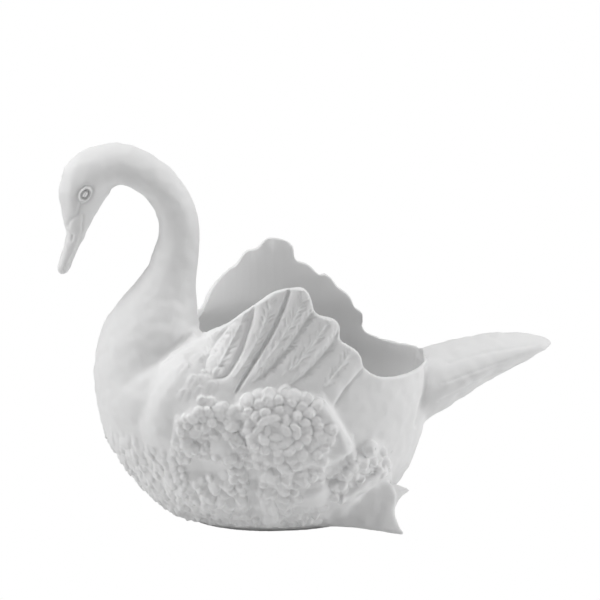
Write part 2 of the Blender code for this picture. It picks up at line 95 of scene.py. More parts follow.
# Waterlines of the hull: height, x at the breast, x where it is widest, x at the rump,
# width as a share of the body's, squareness of the oval.
waterlines = (
    (0.004, -0.0795, -0.016, 0.0450, 0.660, 2.1),
    (0.010, -0.0882, -0.014, 0.0510, 0.745, 2.1),
    (0.020, -0.0997, -0.012, 0.0580, 0.845, 2.1),
    (0.032, -0.1088, -0.010, 0.0650, 0.925, 2.1),
    (0.046, -0.1178, -0.008, 0.0705, 0.975, 2.1),
    (0.062, -0.1250, -0.006, 0.0745, 1.000, 2.15),
    (0.080, -0.1280, -0.004, 0.0760, 1.000, 2.2),
    (0.092, -0.1250, -0.003, 0.0760, 0.985, 2.2),
    (0.102, -0.1120, -0.002, 0.0755, 0.970, 2.25),
    (0.110, -0.0940, 0.000, 0.0750, 0.960, 2.3),
    (0.118, -0.0765, 0.000, 0.0745, 0.955, 2.35),
    (0.126, -0.0695, 0.000, 0.0740, 0.960, 2.4),
    (0.142, -0.0690, 0.000, 0.0740, 0.975, 2.4),
    (0.172, -0.0690, 0.000, 0.0740, 1.010, 2.4),
)

# Neck, head and beak: x, z, half depth, width as a share of the depth.
spine = (
    (-0.0950, 0.0600, 0.0285, 1.15),
    (-0.0955, 0.0780, 0.0322, 1.10),
    (-0.0958, 0.0960, 0.0330, 1.03),
    (-0.0942, 0.1117, 0.0305, 1.00),
    (-0.0896, 0.1255, 0.0262, 1.00),
    (-0.0860, 0.1361, 0.0219, 1.00),
    (-0.0830, 0.1459, 0.0178, 1.00),
    (-0.0803, 0.1547, 0.0150, 1.02),
    (-0.0779, 0.1647, 0.0137, 1.00),
    (-0.0761, 0.1747, 0.0126, 1.00),
    (-0.0759, 0.1838, 0.0120, 1.00),
    (-0.0776, 0.1923, 0.0117, 1.00),
    (-0.0816, 0.2008, 0.0115, 1.00),
    (-0.0884, 0.2096, 0.0115, 1.00),
    (-0.0985, 0.2172, 0.0117, 0.98),
    (-0.1100, 0.2210, 0.0124, 0.95),
    (-0.1190, 0.2196, 0.0134, 0.93),
    (-0.1258, 0.2163, 0.0148, 0.90),
    (-0.1300, 0.2117, 0.0152, 0.89),
    (-0.1326, 0.2065, 0.0145, 0.90),
    (-0.1343, 0.2010, 0.0133, 0.93),
    (-0.1356, 0.1936, 0.0110, 0.98),
    (-0.1367, 0.1869, 0.0085, 1.06),
    (-0.1374, 0.1814, 0.0064, 1.15),
    (-0.1382, 0.1775, 0.0052, 1.25),
    (-0.1404, 0.1721, 0.0046, 1.32),
    (-0.1430, 0.1649, 0.0040, 1.38),
    (-0.1453, 0.1589, 0.0036, 1.35),
    (-0.1467, 0.1560, 0.0026, 1.30),
    (-0.1473, 0.1546, 0.0014, 1.30),
)

# Tail: x, top, underside, half width as a share of the tail's width.
tailSections = (
    (0.0580, 0.0985, 0.0560, 0.52),
    (0.0680, 0.1010, 0.0555, 0.51),
    (0.0780, 0.1033, 0.0600, 0.50),
    (0.0870, 0.1054, 0.0655, 0.48),
    (0.0980, 0.1078, 0.0725, 0.445),
    (0.1130, 0.1103, 0.0820, 0.385),
    (0.1240, 0.1108, 0.0878, 0.335),
    (0.1350, 0.1103, 0.0935, 0.270),
    (0.1435, 0.1090, 0.0980, 0.200),
    (0.1498, 0.1070, 0.1016, 0.115),
    (0.1525, 0.1056, 0.1037, 0.045),
)

# Top edge of each wing from the neck to the tail: x, z. The scallops are the feather tips.
leftRim = (
    (-0.0780, 0.1320),
    (-0.0700, 0.1235),
    (-0.0648, 0.1210),
    (-0.0613, 0.1228),
    (-0.0569, 0.1270),
    (-0.0499, 0.1330),
    (-0.0418, 0.1410),
    (-0.0327, 0.1487),
    (-0.0255, 0.1547),
    (-0.0190, 0.1577),
    (-0.0110, 0.1590),
    (-0.0067, 0.1588),
    (-0.0037, 0.1560),
    (-0.0013, 0.1500),
    (0.0005, 0.1440),
    (0.0042, 0.1415),
    (0.0102, 0.1399),
    (0.0139, 0.1372),
    (0.0153, 0.1334),
    (0.0156, 0.1262),
    (0.0193, 0.1233),
    (0.0251, 0.1190),
    (0.0275, 0.1154),
    (0.0296, 0.1085),
    (0.0377, 0.1020),
    (0.0464, 0.0996),
    (0.0564, 0.0990),
    (0.0654, 0.0992),
    (0.0720, 0.0995),
)
rightRim = (
    (-0.0780, 0.1320),
    (-0.0700, 0.1235),
    (-0.0648, 0.1210),
    (-0.0606, 0.1245),
    (-0.0540, 0.1348),
    (-0.0428, 0.1433),
    (-0.0390, 0.1442),
    (-0.0355, 0.1487),
    (-0.0313, 0.1527),
    (-0.0243, 0.1540),
    (-0.0195, 0.1590),
    (-0.0146, 0.1598),
    (-0.0078, 0.1582),
    (-0.0042, 0.1560),
    (-0.0018, 0.1525),
    (-0.0003, 0.1452),
    (0.0070, 0.1423),
    (0.0140, 0.1359),
    (0.0175, 0.1359),
    (0.0216, 0.1337),
    (0.0255, 0.1280),
    (0.0307, 0.1245),
    (0.0340, 0.1207),
    (0.0362, 0.1157),
    (0.0407, 0.1123),
    (0.0416, 0.1099),
    (0.0420, 0.1010),
    (0.0494, 0.0976),
    (0.0570, 0.0962),
    (0.0660, 0.0970),
    (0.0720, 0.0995),
)

# Webbed feet: the left one's toes from the ankle to the tip. The right foot mirrors it.
foot = {
    "upperToe": (
        (0.008, -0.0400, 0.0220), (0.027, -0.0425, 0.0290),
        (0.045, -0.0425, 0.0300), (0.0600, -0.0400, 0.0250),
    ),
    "lowerToe": (
        (0.002, -0.0375, 0.0055), (0.021, -0.0435, 0.0068),
        (0.040, -0.0485, 0.0048), (0.0553, -0.0520, 0.0020),
    ),
    "webThickness": 0.0042,
    "toeRadius": 0.0026,
    "toeTipRadius": 0.0011,
    "webNotch": 0.23,  # how far the web's free edge is cut in, as a share of its length
}

# Where smoothing blends one form into the next: centre, reach.
joins = (
    ((-0.090, 0.0, 0.112), 0.052),
    ((0.076, 0.0, 0.084), 0.042),
)


def smoothTable(rows, count):
    # rows read from a smooth curve through the rows of a table
    table = np.array(rows, float)
    last = len(table) - 1
    steps = np.linspace(0, last, count)
    index = np.minimum(steps.astype(int), last - 1)
    t = (steps - index)[:, None]
    before = table[np.maximum(index - 1, 0)]
    start, end = table[index], table[index + 1]
    after = table[np.minimum(index + 2, last)]
    return 0.5 * (
        2 * start
        + (end - before) * t
        + (2 * before - 5 * start + 4 * end - after) * t**2
        + (3 * start - before - 3 * end + after) * t**3
    )


shapes = bpy.data.collections.new("swanShapes")
bpy.context.scene.collection.children.link(shapes)


def newObject(name, mesh, collection=shapes):
    made = bpy.data.objects.new(name, mesh)
    collection.objects.link(made)
    return made


def loft(name, rings):
    # a closed solid through rings of points that run the same way round
    shape = bmesh.new()
    loops = []
    for ring in rings:
        corners = [shape.verts.new(point) for point in ring]
        loops.append([shape.edges.new((a, b)) for a, b in zip(corners, corners[1:] + corners[:1])])
        if ring is rings[0] or ring is rings[-1]:
            shape.faces.new(corners)
    for lower, upper in zip(loops, loops[1:]):
        bmesh.ops.bridge_loops(shape, edges=lower + upper)
    bmesh.ops.recalc_face_normals(shape, faces=shape.faces)
    mesh = bpy.data.meshes.new(name)
    shape.to_mesh(mesh)
    shape.free()
    return newObject(name, mesh)


def power(value, exponent):
    return math.copysign(abs(value) ** exponent, value)


def oval(height, front, widest, rear, halfWidth, squareness, count=72):
    ring = []
    for step in range(count):
        angle = math.tau * step / count
        along = power(math.cos(angle), 2 / squareness)
        across = power(math.sin(angle), 2 / squareness)
        reach = rear - widest if along > 0 else widest - front
        ring.append((widest + reach * along, halfWidth * across, height))
    return ring


def allWaterlines(count):
    centre, half = swan["baseCentreX"], swan["baseLength"] / 2
    rows = [(0.0, centre - half, centre, centre + half, swan["baseWidth"] / 2, 2.05)]
    for height, front, widest, rear, width, squareness in waterlines:
        rows.append((height, front, widest, rear, width * swan["bodyWidth"] / 2, squareness))
    return smoothTable(rows, count)


def hull():
    return loft("hull", [oval(*row) for row in allWaterlines(90)])


def cavity():
    # the inside of the bowl: the waterlines, moved in by the wall
    rows = allWaterlines(160)
    slopes = np.gradient(rows, axis=0) / np.gradient(rows[:, 0])[:, None]
    rings = []
    for row, slope in zip(rows, slopes):
        height, front, widest, rear, halfWidth, squareness = row
        if height < swan["floor"]:
            continue
        share = (height - swan["wingStartZ"]) / (swan["rimEdgeZ"] - swan["wingStartZ"])
        wall = swan["wall"] + (swan["rimWall"] - swan["wall"]) * min(max(share, 0.0), 1.0)
        front += wall * min(math.hypot(1, slope[1]), 3.2)
        front += np.interp(height, swan["neckFootZ"], (0.0, swan["neckFill"]))
        rear -= wall * math.hypot(1, slope[3])
        halfWidth -= wall * math.hypot(1, slope[4])
        rings.append(oval(height, front, widest, rear, halfWidth, squareness))
    rings.append([(x, y, z + swan["wall"]) for x, y, z in rings[-1]])
    return loft("bowlCavity", rings)


def neckAndHead():
    rows = smoothTable(spine, 110)
    centres = [Vector((x, 0, z)) for x, z, _, _ in rows]
    rings = []
    for index, (x, z, depth, share) in enumerate(rows):
        along = centres[min(index + 1, len(rows) - 1)] - centres[max(index - 1, 0)]
        outward = Vector((along.z, 0, -along.x)).normalized()
        ring = []
        for step in range(48):
            angle = math.tau * step / 48
            point = centres[index] + outward * (depth * math.cos(angle))
            ring.append(point + Vector((0, depth * share * math.sin(angle), 0)))
        rings.append(ring)
    return loft("neck", rings)


def tail():
    rings = []
    for x, top, under, share in smoothTable(tailSections, 60):
        middle, halfHeight = (top + under) / 2, (top - under) / 2
        ring = []
        for step in range(48):
            angle = math.tau * step / 48
            across = power(math.cos(angle), 2 / swan["tailSquareness"])
            up = power(math.sin(angle), 2 / swan["tailSquareness"])
            ring.append((x, swan["tailWidth"] * share * across, middle + halfHeight * up))
        rings.append(ring)
    return loft("tail", rings)


def rimCutter(name, rim, side):
    # everything above the edge of one wing
    points = [tuple(row) for row in smoothTable(rim, 200)]
    clear = 0.03
    start, end = points[0], points[-1]
    top = swan["bowlTop"] + clear
    outline = [(start[0] - 3 * clear, start[1])] + points + [(end[0] + clear, end[1])]
    outline += [(end[0] + clear, top), (start[0] - 3 * clear, top)]
    reach = (side * -1e-5, side * swan["bodyWidth"])
    return loft(name, [[(x, y, z) for x, z in outline] for y in reach])


def asMesh(source, collection=shapes):
    # the evaluated shape as a welded mesh object in its place
    graph = bpy.context.evaluated_depsgraph_get()
    mesh = bpy.data.meshes.new_from_object(source.evaluated_get(graph))
    shape = bmesh.new()
    shape.from_mesh(mesh)
    bmesh.ops.remove_doubles(shape, verts=shape.verts, dist=1e-6)
    bmesh.ops.recalc_face_normals(shape, faces=shape.faces)
    shape.to_mesh(mesh)
    shape.free()
    name = source.name
    bpy.data.objects.remove(source)
    return newObject(name, mesh, collection)


def toe(name, points):
    curve = bpy.data.curves.new(name, "CURVE")
    curve.dimensions = "3D"
    curve.bevel_depth = 1.0
    curve.bevel_resolution = 3
    curve.use_fill_caps = True
    spline = curve.splines.new("POLY")
    rows = smoothTable(points, 24)
    spline.points.add(len(rows) - 1)
    for index, (point, row) in enumerate(zip(spline.points, rows)):
        share = index / (len(rows) - 1)
        point.co = (*row, 1)
        point.radius = foot["toeRadius"] + (foot["toeTipRadius"] - foot["toeRadius"]) * share**2
    return asMesh(newObject(name, curve))


def web(name, side):
    # the skin between the two toes, cut in at its free edge
    along, across = 26, 14
    upper, lower = smoothTable(foot["upperToe"], along), smoothTable(foot["lowerToe"], along)
    normal = Vector(upper[-1] - lower[-1]).cross(Vector((1, 0, 0))).normalized()
    half = foot["webThickness"] / 2
    sections = []
    for index in range(along):
        share = index / (along - 1)
        line = []
        for step in range(across + 1):
            v = step / across
            reach = share * (1 - foot["webNotch"] * math.sin(math.pi * v)) * (along - 1)
            low = min(int(reach), along - 2)
            top = upper[low] + (upper[low + 1] - upper[low]) * (reach - low)
            under = lower[low] + (lower[low + 1] - lower[low]) * (reach - low)
            line.append(Vector(under + (top - under) * v))
        front = [point + normal * half for point in line]
        back = [point - normal * half for point in reversed(line)]
        sections.append([(p.x, side * -p.y, p.z) for p in front + back])
    return loft(name, sections)


def footPieces(label, side):
    pieces = [web(label + "Web", side)]
    for name in ("upperToe", "lowerToe"):
        pieces.append(toe(label + name, [(x, side * -y, z) for x, y, z in foot[name]]))
    return pieces


def joined(name, pieces):
    shape = bmesh.new()
    for piece in pieces:
        shape.from_mesh(piece.data)
        bpy.data.objects.remove(piece)
    mesh = bpy.data.meshes.new(name)
    shape.to_mesh(mesh)
    shape.free()
    return newObject(name, mesh)


def remesh(target, size):
    step = target.modifiers.new("carve", "REMESH")
    step.mode = "VOXEL"
    step.voxel_size = size


def cut(target, tool):
    step = target.modifiers.new("cut " + tool.name, "BOOLEAN")
    step.operation = "DIFFERENCE"
    step.object = tool


def soften(target, rounds, group=""):
    step = target.modifiers.new("soften", "SMOOTH")
    step.factor = 0.5
    step.iterations = rounds
    step.vertex_group = group


def joinWeights(target):
    group = target.vertex_groups.new(name="joins")
    for vertex in target.data.vertices:
        weight = 0.0
        for centre, reach in joins:
            away = (vertex.co - Vector(centre)).length / reach
            weight = max(weight, min(1.0, 2.0 - 2.0 * away))
        if weight > 0:
            group.add([vertex.index], weight, "REPLACE")
    return group.name


def solidSwan():
    # the casting without its hollow, and the skin of its plain hull
    bowl = hull()
    plain = BVHTree.FromObject(bowl, bpy.context.evaluated_depsgraph_get())
    for name, rim, side in (("leftRimCutter", leftRim, -1), ("rightRimCutter", rightRim, 1)):
        cut(bowl, rimCutter(name, rim, side))
    bowl = asMesh(bowl)
    pieces = [bowl, neckAndHead(), tail()] + footPieces("left", -1) + footPieces("right", 1)
    form = joined("castingForm", pieces)
    remesh(form, swan["coarseVoxel"])
    form = asMesh(form)
    soften(form, swan["joinRounds"], joinWeights(form))
    return asMesh(form), plain


print("solid swan")
form, plain = solidSwan()


# The carving on a flank is seen from the side, as x and z in metres. Both flanks are carved alike.

# Front edge of the shoulder, where the folded wing stands off the breast.
shoulder = {
    "edge": (
        (-0.0700, 0.1230), (-0.0750, 0.1190), (-0.0815, 0.1140), (-0.0905, 0.1030), (-0.0965, 0.0920),
        (-0.1005, 0.0790), (-0.1018, 0.0650), (-0.1018, 0.0550),
    ),
    "height": 0.0052,
    "ramp": 0.0115,
    "crest": 0.0130,
    "reach": 0.0400,
    "creaseDepth": 0.0007,
    "creaseWidth": 0.0028,
}

# Outline of the big tuft of coverts below the flight feathers.
tuft = {
    "outline": (
        (-0.0440, 0.0900), (-0.0374, 0.0959), (-0.0256, 0.0982), (-0.0081, 0.0965), (0.0035, 0.0912),
        (0.0123, 0.0818), (0.0184, 0.0689), (0.0205, 0.0585), (0.0140, 0.0520), (0.0000, 0.0495),
        (-0.0170, 0.0480), (-0.0306, 0.0534), (-0.0376, 0.0611), (-0.0420, 0.0710),
    ),
    "height": 0.0030,
    "ramp": 0.0040,
}

# Smaller tufts and the hollows between them: x, z, half length, half width, tilt in degrees, height.
lumps = (
    (-0.0652, 0.0811, 0.0120, 0.0115, 0, 0.0034),
    (-0.0550, 0.0630, 0.0070, 0.0095, 15, 0.0034),
    (-0.0670, 0.0290, 0.0290, 0.0110, -8, 0.0024),
    (0.0010, 0.0305, 0.0105, 0.0080, 0, 0.0042),
    (0.0345, 0.0580, 0.0062, 0.0060, 0, 0.0030),
    (0.0260, 0.0480, 0.0120, 0.0050, 0, 0.0018),
    (0.0320, 0.0350, 0.0150, 0.0050, 35, 0.0034),
    (-0.0255, 0.0220, 0.0050, 0.0130, 0, 0.0028),
    (-0.0160, 0.0440, 0.0190, 0.0055, 0, 0.0020),
    (-0.0540, 0.0860, 0.0050, 0.0050, 0, 0.0016),
    (-0.0476, 0.0760, 0.0048, 0.0100, 0, 0.0020),
    (-0.0725, 0.0600, 0.0060, 0.0045, 0, 0.0020),
    (-0.0655, 0.0465, 0.0125, 0.0065, 8, -0.0026),
    (-0.0649, 0.0657, 0.0090, 0.0028, 0, -0.0014),
    (-0.0458, 0.0730, 0.0030, 0.0024, 0, -0.0030),
    (-0.0400, 0.0670, 0.0026, 0.0100, 10, -0.0015),
    (-0.0360, 0.0440, 0.0036, 0.0100, 0, -0.0026),
    (-0.0370, 0.0270, 0.0040, 0.0110, 0, -0.0024),
    (0.0107, 0.0432, 0.0062, 0.0060, 0, -0.0024),
    (0.0330, 0.0230, 0.0130, 0.0040, 35, -0.0014),
)

# Edges of the flight feathers, from the shoulder to the tail, with the depth of the cut
# along each and how rough it is. A vane lies between each two.
vaneEdges = (
    (
        ((-0.0594, 0.1034), (-0.0632, 0.1096), (-0.0581, 0.1200), (-0.0505, 0.1319), (-0.0460, 0.1372)),
        0.0012, 0.6,
    ),
    (
        ((-0.0594, 0.1034), (-0.0512, 0.1055), (-0.0430, 0.1180), (-0.0385, 0.1310), (-0.0352, 0.1460)),
        0.0014, 0.0,
    ),
    (
        ((-0.0474, 0.0935), (-0.0372, 0.1101), (-0.0254, 0.1300), (-0.0178, 0.1480), (-0.0150, 0.1570)),
        0.0021, 0.0,
    ),
    (
        ((-0.0374, 0.1008), (-0.0256, 0.1104), (-0.0139, 0.1242), (-0.0035, 0.1407), (0.0003, 0.1445)),
        0.0010, 1.0,
    ),
    (
        ((-0.0160, 0.0990), (-0.0060, 0.1060), (0.0030, 0.1150), (0.0120, 0.1270), (0.0150, 0.1360)),
        0.0008, 0.7,
    ),
    (((0.0110, 0.0850), (0.0180, 0.0960), (0.0300, 0.1090)), 0.0007, 0.0),
)
vanes = {
    "height": 0.0022,
    "barbPitch": 0.0029,
    "barbLength": 0.0048,
    "barbWidth": 0.0006,
    "barbDepth": 0.0006,
    "barbTurn": (24, 40),  # degrees off the shaft, least and most
    "shaftWidth": 0.0008,
    "shaftHeight": 0.0005,
    "cutWidth": 0.0009,
    "notchPitch": 0.0024,  # strokes across a rough edge
    "notchFrom": 0.0006,
    "notchLength": 0.0042,
    "notchWidth": 0.0008,
    "notchDepth": 0.0011,
    "notchTurn": (24, 44),
    "seed": 5,
}

# Upper edge of the ground that the small covert feathers cover.
covertEdge = (
    (-0.140, 0.058),
    (-0.118, 0.062),
    (-0.104, 0.062),
    (-0.092, 0.055),
    (-0.084, 0.058),
    (-0.080, 0.080),
    (-0.066, 0.093),
    (-0.050, 0.091),
    (-0.044, 0.093),
    (-0.0374, 0.0970),
    (-0.0256, 0.0990),
    (-0.0081, 0.0970),
    (0.0035, 0.0915),
    (0.0123, 0.0820),
    (0.0184, 0.0700),
    (0.025, 0.060),
    (0.034, 0.065),
    (0.042, 0.060),
    (0.047, 0.046),
    (0.050, 0.030),
)
coverts = {
    "ground": 0.0012,
    "groundRamp": 0.0060,
    "rowSpacing": 0.0046,
    "spacing": 0.0052,
    "halfLength": 0.0033,
    "halfWidth": 0.0030,
    "height": 0.0029,
    "body": 0.72,  # share of the height in the middle of a feather
    "tipRise": 0.46,  # and added to it at the tip
    "sizes": (0.8, 1.25),  # shares, least and most
    "lifts": (0.6, 1.2),
    "turns": 0.4,  # spread of the directions, in radians
    "jitter": 0.0017,
    "ringJitter": 0.0007,
    "ringSpacing": 1.65,  # from feather to feather, in half widths
    "lowest": 0.006,
    "footTop": 0.0215,  # the feet are plain below this
    "seed": 7,
}
relief = {
    "plainFoot": 0.0030,  # the wall is plain up to here, for a clean outline at the base
    "carvedFrom": 0.0090,
    "carvedSkin": 0.0035,  # what lies this deep in the solid stays where it is
    "unevenness": 0.0013,  # of hand modelling, on the coverts
    "pressed": 0.40,  # share of a covert's height that varies within it
    "dimples": 0.0006,  # and on the breast, the neck and the tail
}


def fade(value, start, end):
    # 0 at the start and 1 at the end, eased
    share = np.clip((value - start) / (end - start), 0, 1)
    return share * share * (3 - 2 * share)


def lineDistance(flat, points, reach=0.04):
    # how far places lie from a smooth line, on which side of it, and where along it
    rows = smoothTable(points, 8 * len(points))
    low, high = rows.min(axis=0) - reach, rows.max(axis=0) + reach
    near = np.flatnonzero(((flat > low) & (flat < high)).all(axis=1))
    places = flat[near]
    distance = np.full(len(places), reach)
    hand = np.zeros(len(places))
    travel = np.zeros(len(places))
    travelled = 0.0
    for start, end in zip(rows, rows[1:]):
        edge = end - start
        length = math.hypot(*edge)
        share = np.clip(((places - start) @ edge) / length**2, 0, 1)
        gap = places - start - share[:, None] * edge
        step = np.hypot(gap[:, 0], gap[:, 1])
        nearer = step < distance
        distance[nearer] = step[nearer]
        hand[nearer] = np.sign(edge[0] * gap[nearer, 1] - edge[1] * gap[nearer, 0])
        travel[nearer] = travelled + share[nearer] * length
        travelled += length
    away, side, along = np.full(len(flat), reach), np.zeros(len(flat)), np.zeros(len(flat))
    away[near], side[near], along[near] = distance, hand, travel / travelled
    return away, side, along


def insideOutline(flat, outline):
    inside = np.zeros(len(flat), bool)
    for (x0, z0), (x1, z1) in zip(outline, outline[1:] + outline[:1]):
        if z0 != z1:
            crosses = (z0 > flat[:, 1]) != (z1 > flat[:, 1])
            inside ^= crosses & (flat[:, 0] < (x1 - x0) * (flat[:, 1] - z0) / (z1 - z0) + x0)
    return inside


def meshArrays(mesh):
    places = np.empty(len(mesh.vertices) * 3)
    normals = np.empty(len(mesh.vertices) * 3)
    mesh.vertices.foreach_get("co", places)
    mesh.vertices.foreach_get("normal", normals)
    return places.reshape(-1, 3), normals.reshape(-1, 3)


def unevenness(places, size):
    # soft noise from -1 to 1 with bumps of a size in metres
    return np.array([noise.noise(Vector(place) / size) for place in places])


def layTufts(form, plain):
    # the main forms: the shoulder, the tufts, the vanes and the ground of the coverts
    places, _ = meshArrays(form.data)
    nearest = [plain.find_nearest(place) for place in places]
    outward = np.array([found[1] for found in nearest])
    depth = ((np.array([found[0] for found in nearest]) - places) * outward).sum(axis=1)
    flat = places[:, (0, 2)]
    raised = np.zeros(len(places))

    away, side, along = lineDistance(flat, shoulder["edge"])
    behind = np.where(side > 0, away, -away)
    step = fade(behind, -0.3 * shoulder["ramp"], shoulder["ramp"])
    step *= 1 - fade(behind, shoulder["crest"], shoulder["reach"])
    raised += shoulder["height"] * step * fade(along, 0.0, 0.15) * (1 - fade(along, 0.80, 1.0))

    away = lineDistance(flat, tuft["outline"] + tuft["outline"][:1])[0]
    inside = np.where(insideOutline(flat, tuft["outline"]), away, -away)
    raised += tuft["height"] * fade(inside, -0.3 * tuft["ramp"], tuft["ramp"])

    for (front, _, _), (rear, _, _) in zip(vaneEdges, vaneEdges[1:]):
        awayFront, sideFront, alongFront = lineDistance(flat, front)
        awayRear, sideRear, alongRear = lineDistance(flat, rear)
        between = (sideFront < 0) & (sideRear > 0)
        across = (awayFront - awayRear) / (awayFront + awayRear)
        body = (1 - across**2) * fade((alongFront + alongRear) / 2, 0.0, 0.35)
        raised[between] += vanes["height"] * body[between]

    for x, z, halfLength, halfWidth, tilt, height in lumps:
        turn = math.radians(tilt)
        offset = flat - (x, z)
        lengthways = offset @ (math.cos(turn), math.sin(turn)) / halfLength
        sideways = offset @ (-math.sin(turn), math.cos(turn)) / halfWidth
        raised += height * (1 - fade(np.hypot(lengthways, sideways), 0.1, 1.5))

    edgeX, edgeZ = zip(*covertEdge)
    below = np.interp(flat[:, 0], edgeX, edgeZ, right=0.0) - flat[:, 1]
    ground = fade(below, 0.0, coverts["groundRamp"])
    raised += coverts["ground"] * ground
    mirrored = np.abs(places) * (0, 1, 0) + places * (1, 0, 1)
    raised += relief["unevenness"] * ground * unevenness(mirrored, 0.0075)

    share = fade(np.abs(outward[:, 1]), 0.1, 0.5) * (1 - fade(depth, 0.0, relief["carvedSkin"]))
    share *= fade(places[:, 2], relief["plainFoot"], relief["carvedFrom"])
    moved = places + outward * (raised * share)[:, None]
    form.data.vertices.foreach_set("co", moved.ravel())
    form.data.update()


print("tufts")
layTufts(form, plain)
skin = BVHTree.FromObject(form, bpy.context.evaluated_depsgraph_get())


def hollowed(form):
    cut(form, cavity())
    remesh(form, swan["fineVoxel"])
    soften(form, swan["edgeRounds"])
    return asMesh(form)


print("hollow")
form = hollowed(form)
print("vertices", len(form.data.vertices))

# Single round feathers that stand out: x, z, radius, height.
knobs = (
    (-0.0543, 0.0862, 0.0046, 0.0026),
    (-0.0486, 0.0842, 0.0046, 0.0026),
    (-0.0475, 0.0770, 0.0042, 0.0024),
    (-0.0463, 0.0671, 0.0040, 0.0022),
    (-0.0400, 0.0925, 0.0044, 0.0026),
    (0.0051, 0.0692, 0.0046, 0.0024),
    (0.0345, 0.0585, 0.0050, 0.0024),
    (0.0049, 0.0545, 0.0036, 0.0020),
    (0.0232, 0.0497, 0.0034, 0.0022),
    (0.0294, 0.0488, 0.0034, 0.0022),
    (0.0429, 0.0400, 0.0040, 0.0018),
)

# Single long feathers: x, z, direction in degrees, length, width, height.
strays = (
    (-0.0270, 0.0225, -82, 0.0260, 0.0100, 0.0024),
    (-0.0190, 0.0270, -60, 0.0150, 0.0070, 0.0022),
    (-0.0281, 0.0427, 80, 0.0110, 0.0080, 0.0022),
    (-0.0170, 0.0456, 70, 0.0110, 0.0080, 0.0022),
    (-0.0080, 0.0440, 60, 0.0110, 0.0080, 0.0022),
    (0.0030, 0.0420, 30, 0.0110, 0.0070, 0.0020),
)

# Cuts and ridges on the flank: points, half width, depth. A ridge has a depth below 0.
flankLines = (
    (((0.0035, 0.0905), (0.0122, 0.0765), (0.0200, 0.0600)), 0.0036, -0.0020),
    (((0.0160, 0.0260), (0.0240, 0.0310), (0.0316, 0.0368), (0.0400, 0.0415)), 0.0034, -0.0022),
    (((0.0725, 0.1010), (0.0722, 0.0900), (0.0690, 0.0770), (0.0655, 0.0640)), 0.0019, 0.0022),
    (((0.0860, 0.0985), (0.1100, 0.1040), (0.1400, 0.1065)), 0.0008, 0.0004),
    (((0.0820, 0.0880), (0.1050, 0.0950), (0.1330, 0.1015)), 0.0008, 0.0004),
    (((0.0790, 0.0770), (0.0980, 0.0850), (0.1180, 0.0925)), 0.0008, 0.0004),
)

# Lines on the head: the lore, the mouth and the nostril.
headLines = (
    (((-0.1344, 0.1997), (-0.1363, 0.1927), (-0.1400, 0.1900), (-0.1428, 0.1844)), 0.0010, 0.0009),
    (((-0.1330, 0.1926), (-0.1337, 0.1827), (-0.1376, 0.1698), (-0.1425, 0.1620)), 0.0007, 0.0007),
    (((-0.1396, 0.1795), (-0.1401, 0.1765)), 0.0008, 0.0009),
)
eye = {
    "x": -0.1313,
    "z": 0.2059,
    "halfLength": 0.0040,
    "halfWidth": 0.0027,
    "tilt": 58,
    "ball": 0.0010,
    "rim": 0.0009,
    "groove": 0.0016,  # round the ball, inside the rim
    "socket": 0.0009,  # round the rim
}

# Rings of coverts round a centre: x, z, stretch along x, then for each ring its radius
# and its feathers' half length and half width.
rings = (
    (-0.0652, 0.0811, 1.0, ((0.0, 0.0034, 0.0030), (0.0052, 0.0034, 0.0030), (0.0104, 0.0036, 0.0032))),
    (
        -0.0220, 0.0740, 1.35,
        (
            (0.0040, 0.0024, 0.0040), (0.0082, 0.0026, 0.0042), (0.0128, 0.0030, 0.0036),
            (0.0178, 0.0034, 0.0034), (0.0225, 0.0038, 0.0038),
        ),
    ),
    (0.0345, 0.0585, 1.0, ((0.0095, 0.0030, 0.0028),)),
)

# Ground that stays smooth inside the coverts: x, z, radius.
smoothSpots = (
    (-0.0550, 0.0630, 0.0070),
    (-0.0690, 0.0455, 0.0060),
    (-0.0590, 0.0500, 0.0060),
    (-0.0352, 0.0440, 0.0040),
    (-0.0365, 0.0350, 0.0035),
    (-0.0365, 0.0270, 0.0035),
    (0.0010, 0.0305, 0.0105),
    (0.0078, 0.0840, 0.0045),
    (0.0122, 0.0765, 0.0045),
    (0.0160, 0.0690, 0.0045),
    (0.0195, 0.0610, 0.0045),
    (-0.0270, 0.0225, 0.0070),
    (0.0260, 0.0300, 0.0060),
    (0.0340, 0.0370, 0.0060),
)


def slanted(direction, turn):
    # a direction on the flank, turned by an angle
    x, z = direction
    return np.array((x * math.cos(turn) - z * math.sin(turn), x * math.sin(turn) + z * math.cos(turn)))


